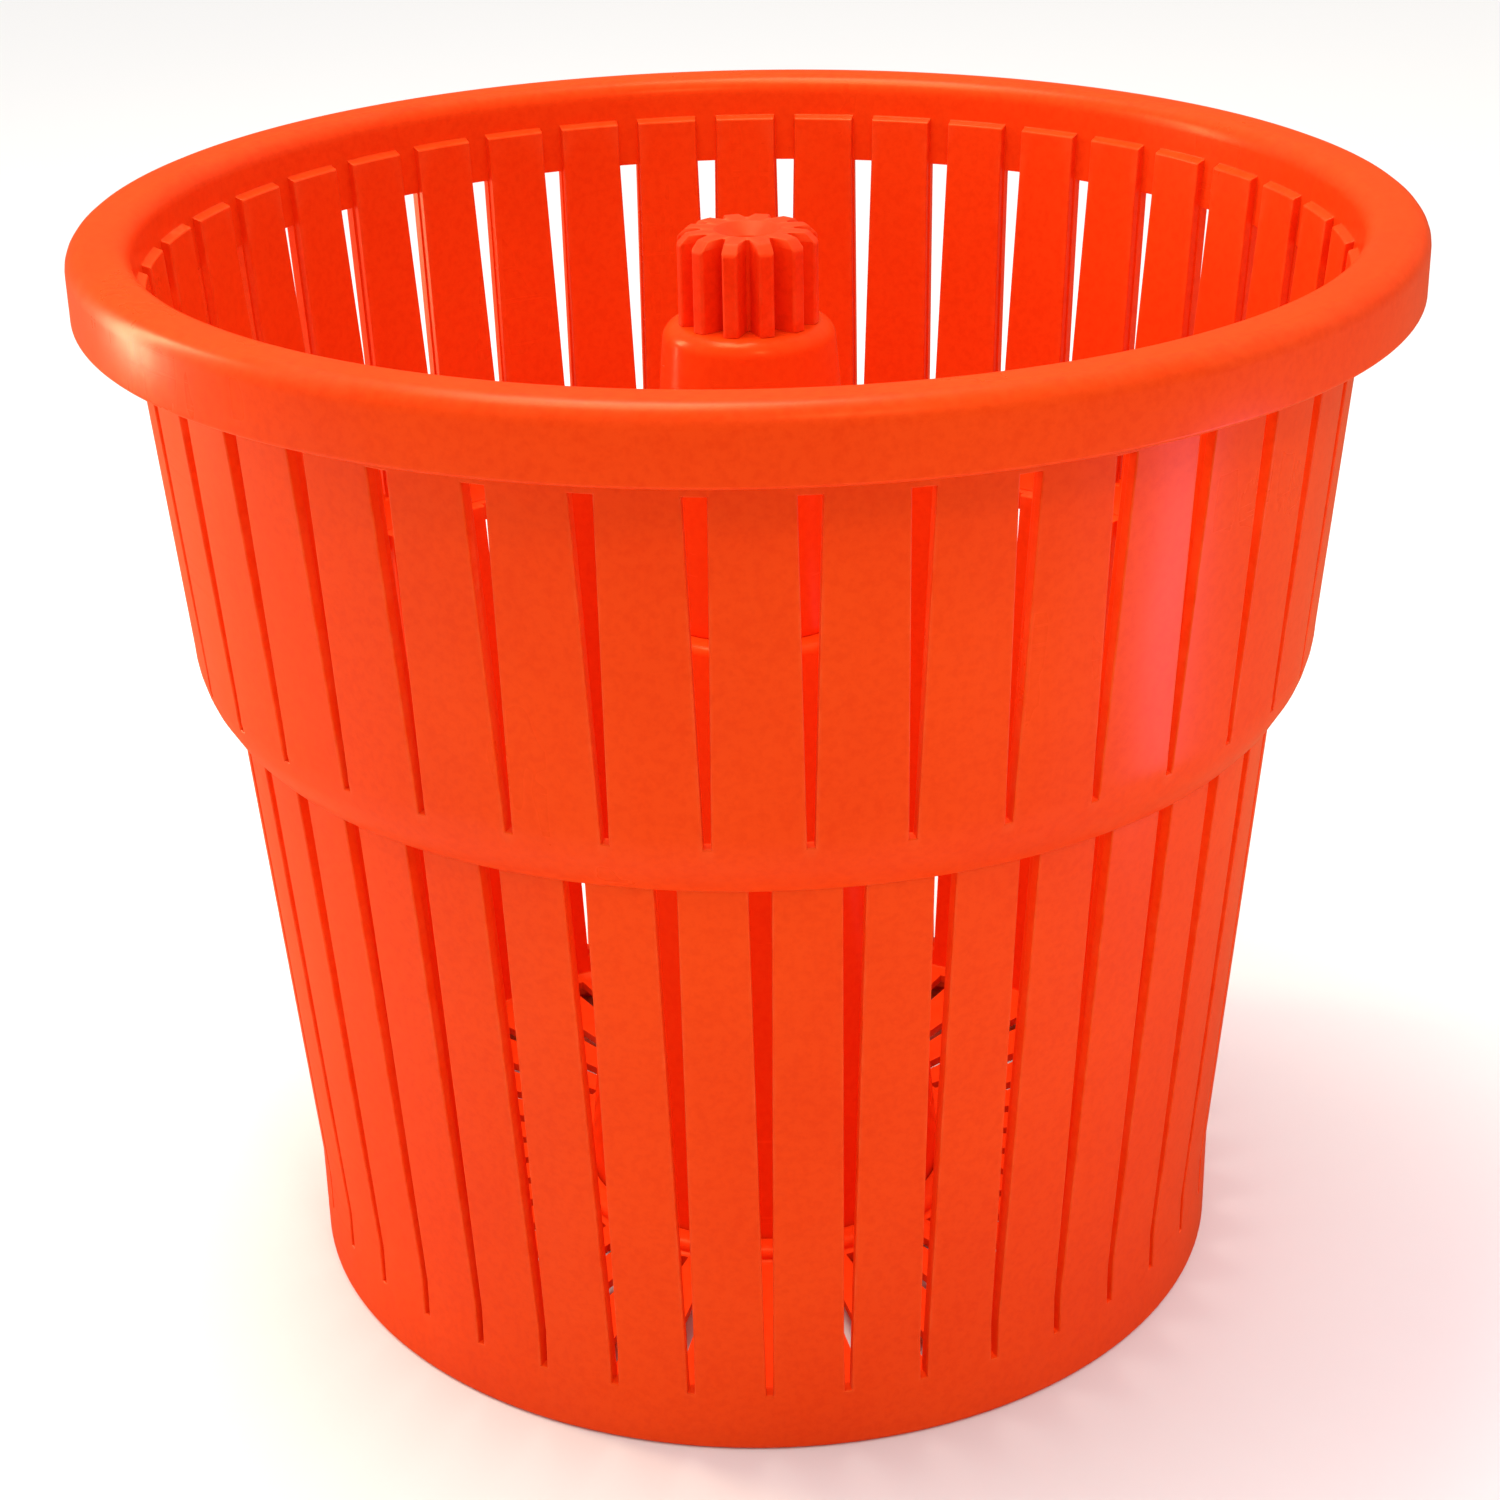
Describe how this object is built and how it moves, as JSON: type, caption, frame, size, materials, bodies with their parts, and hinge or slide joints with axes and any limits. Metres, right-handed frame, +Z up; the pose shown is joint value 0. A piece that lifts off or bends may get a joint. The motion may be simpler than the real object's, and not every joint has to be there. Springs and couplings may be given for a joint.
{
  "type": "salad spinner basket",
  "caption": "Slotted, stepped spinning basket with a hollow central hub, a drive pinion on top and a ball bearing inside the hub.",
  "frame": {"origin": "on the spin axis, at the level of the foot's lower face", "axes": "+Z up along the spin axis; -Y is the side seen in the front view; the basket is the same every 9 degrees"},
  "size_m": [0.38, 0.3798, 0.326],
  "materials": {
    "basket_plastic": "satin moulded polypropylene, orange-red",
    "pinion_plastic": "matte moulded acetal, orange-red",
    "bush_plastic": "machined natural acetal",
    "housing_aluminium": "turned",
    "stainless_steel": "turned stainless steel",
    "bearing_steel": "ground and polished",
    "cage_brass": "pressed",
    "seal_rubber": "moulded nitrile"
  },
  "bodies": {
    "pivot": {"bearing_inner_ring": "bearing_steel", "socket_clip": "stainless_steel", "spindle_socket": "stainless_steel", "thrust_pad": "bush_plastic"},
    "basket": {"upper_basket": "basket_plastic", "lower_basket": "basket_plastic", "floor_grid": "basket_plastic", "floor_screws": "stainless_steel", "hub_base": "basket_plastic", "hub_sleeve": "basket_plastic", "hub_screws": "stainless_steel", "drive_pinion": "pinion_plastic", "pinion_clip": "stainless_steel", "pilot_bush": "bush_plastic", "bearing_housing": "housing_aluminium", "housing_clip": "stainless_steel", "bearing_clip": "stainless_steel", "splash_seal": "seal_rubber", "bearing_outer_ring": "bearing_steel", "upper_shield": "seal_rubber", "lower_shield": "seal_rubber"},
    "cage": {"bearing_balls": "bearing_steel", "bearing_cage": "cage_brass"}
  },
  "joints": [
    {"name": "basket_spin", "type": "hinge", "parent": "pivot", "child": "basket", "pos_m": [0, 0, 0.2625], "axis": [0, 0, 1], "continuous": true},
    {"name": "cage_turn", "type": "hinge", "parent": "pivot", "child": "cage", "pos_m": [0, 0, 0.2625], "axis": [0, 0, 1], "continuous": true}
  ],
  "couplings": [
    {"joint": "cage_turn", "follows": "basket_spin", "ratio": 0.619}
  ]
}
